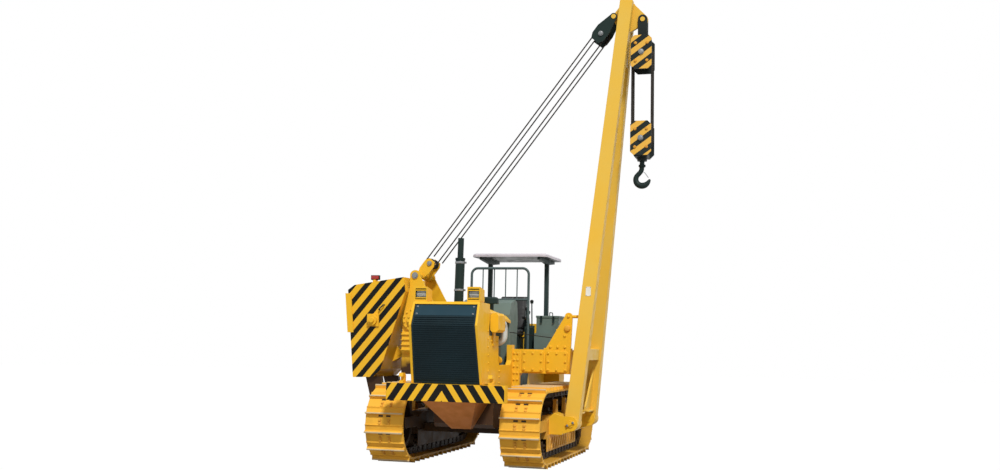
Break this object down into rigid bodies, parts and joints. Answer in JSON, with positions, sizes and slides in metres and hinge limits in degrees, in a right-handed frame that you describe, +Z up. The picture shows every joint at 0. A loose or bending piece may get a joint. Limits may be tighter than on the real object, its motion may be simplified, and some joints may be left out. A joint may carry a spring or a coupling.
{
  "type": "sideboom pipelayer",
  "caption": "Crawler tractor with a luffing side boom, rope tackle and hook on its left and a swinging counterweight on its right, for laying pipe into trenches",
  "frame": {"origin": "on the ground, below the middle of the overall box at rest", "axes": "+X to the machine's left where the boom is, +Y to the rear, +Z up; the radiator faces -Y"},
  "size_m": [5.1424, 5.0199, 7.6148],
  "materials": {
    "yellow_paint": "machine yellow gloss paint, lightly worn",
    "track_paint": "yellow paint worn to steel on the grousers",
    "dark_paint": "charcoal black paint",
    "grille_paint": "dark screen paint",
    "engine_paint": "painted cast iron",
    "lamp_glass": "clear lamp glass",
    "exhaust_steel": "heat-dulled black paint",
    "grey_paint": "grey satin paint",
    "seat_vinyl": "black vinyl",
    "roof_paint": "white satin paint",
    "rope_steel": "greased steel wire rope",
    "sheave_steel": "dark painted cast steel",
    "rod_chrome": "polished chrome"
  },
  "bodies": {
    "tractor": {"main_frame": "yellow_paint", "hard_bars": "yellow_paint", "track_frames": "yellow_paint", "track_left": "track_paint", "track_right": "track_paint", "idlers": "dark_paint", "sprockets": "dark_paint", "track_rollers": "dark_paint", "final_drives": "yellow_paint", "front_bumper": "yellow_paint", "sump_guard": "yellow_paint", "radiator_guard": "yellow_paint", "radiator_grille": "grille_paint", "engine_hood": "yellow_paint", "engine_block": "engine_paint", "lamp_boxes": "yellow_paint", "lamp_lenses": "lamp_glass", "exhaust_stack": "exhaust_steel", "air_precleaner": "grey_paint", "air_cleaner": "yellow_paint", "air_pipe": "grey_paint", "operator_deck": "yellow_paint", "dash_cowl": "grey_paint", "operator_seat": "seat_vinyl", "battery_box": "grey_paint", "oil_tank": "yellow_paint", "control_levers": "dark_paint", "guard_rail": "yellow_paint", "canopy_posts": "dark_paint", "canopy_roof": "roof_paint", "fuel_tank": "yellow_paint", "drawbar": "yellow_paint", "boom_beam": "yellow_paint", "boom_stop": "yellow_paint", "boom_feet": "yellow_paint", "gantry_frame": "yellow_paint", "winch_covers": "yellow_paint", "winch_drums": "rope_steel", "weight_feet": "yellow_paint"},
    "boom": {"boom_legs": "yellow_paint", "boom_braces": "yellow_paint", "boom_head": "yellow_paint"},
    "luffing_block": {"luffing_block": "dark_paint", "luffing_block_sheaves": "sheave_steel", "luffing_block_falls": "rope_steel"},
    "gantry_link": {"gantry_link": "yellow_paint", "gantry_sheaves": "sheave_steel", "gantry_falls": "rope_steel"},
    "hoist_block": {"hoist_block": "yellow_paint", "hoist_block_sheaves": "sheave_steel", "hoist_ropes": "rope_steel"},
    "hook_block": {"hook_block": "yellow_paint", "hook_block_sheaves": "sheave_steel"},
    "load_hook": {"load_hook": "dark_paint"},
    "counterweight": {"counterweight": "yellow_paint", "counterweight_arms": "yellow_paint"},
    "ram_barrel": {"ram_barrel": "yellow_paint"},
    "ram_rod": {"ram_rod": "rod_chrome"}
  },
  "joints": [
    {"name": "boom_luff", "type": "hinge", "parent": "tractor", "child": "boom", "pos_m": [1.43513, 0.06, 0.64], "axis": [0, 1, 0], "range_deg": [0, 60]},
    {"name": "luffing_block_swing", "type": "hinge", "parent": "boom", "child": "luffing_block", "pos_m": [1.9246, 0.06, 7.33883], "axis": [0, 1, 0], "range_deg": [-25, 5]},
    {"name": "gantry_link_swing", "type": "hinge", "parent": "tractor", "child": "gantry_link", "pos_m": [-1.37487, 0.06, 2.985], "axis": [0, 1, 0], "range_deg": [-5, 60]},
    {"name": "hoist_block_plumb", "type": "hinge", "parent": "boom", "child": "hoist_block", "pos_m": [2.39716, 0.06, 7.29083], "axis": [0, 1, 0], "range_deg": [-62, 2]},
    {"name": "hook_hoist", "type": "slide", "parent": "hoist_block", "child": "hook_block", "axis": [0, 0, 1], "range_m": [-3.2, 0.6], "deforming": ["hoist_ropes"]},
    {"name": "hook_swivel", "type": "hinge", "parent": "hook_block", "child": "load_hook", "pos_m": [2.39716, 0.06, 4.59583], "axis": [0, 0, 1], "continuous": true},
    {"name": "counterweight_swing", "type": "hinge", "parent": "tractor", "child": "counterweight", "pos_m": [-1.93487, 0.06, 0.72], "axis": [0, -1, 0], "range_deg": [0, 30]},
    {"name": "ram_barrel_pivot", "type": "hinge", "parent": "tractor", "child": "ram_barrel", "pos_m": [-1.01487, 0.06, 1.5], "axis": [0, -1, 0], "range_deg": [-5, 20]},
    {"name": "ram_rod_slide", "type": "slide", "parent": "ram_barrel", "child": "ram_rod", "axis": [-0.9762, 0, 0.2169], "range_m": [-0.005, 0.52]}
  ],
  "couplings": [
    {"joint": "luffing_block_swing", "follows": "boom_luff", "ratio": -0.18177},
    {"joint": "gantry_link_swing", "follows": "boom_luff", "ratio": 0.81823},
    {"joint": "hoist_block_plumb", "follows": "boom_luff", "ratio": -1},
    {"joint": "ram_barrel_pivot", "follows": "counterweight_swing", "ratio": 0.18724},
    {"joint": "ram_rod_slide", "follows": "counterweight_swing", "m_per_rad": 0.93862}
  ]
}
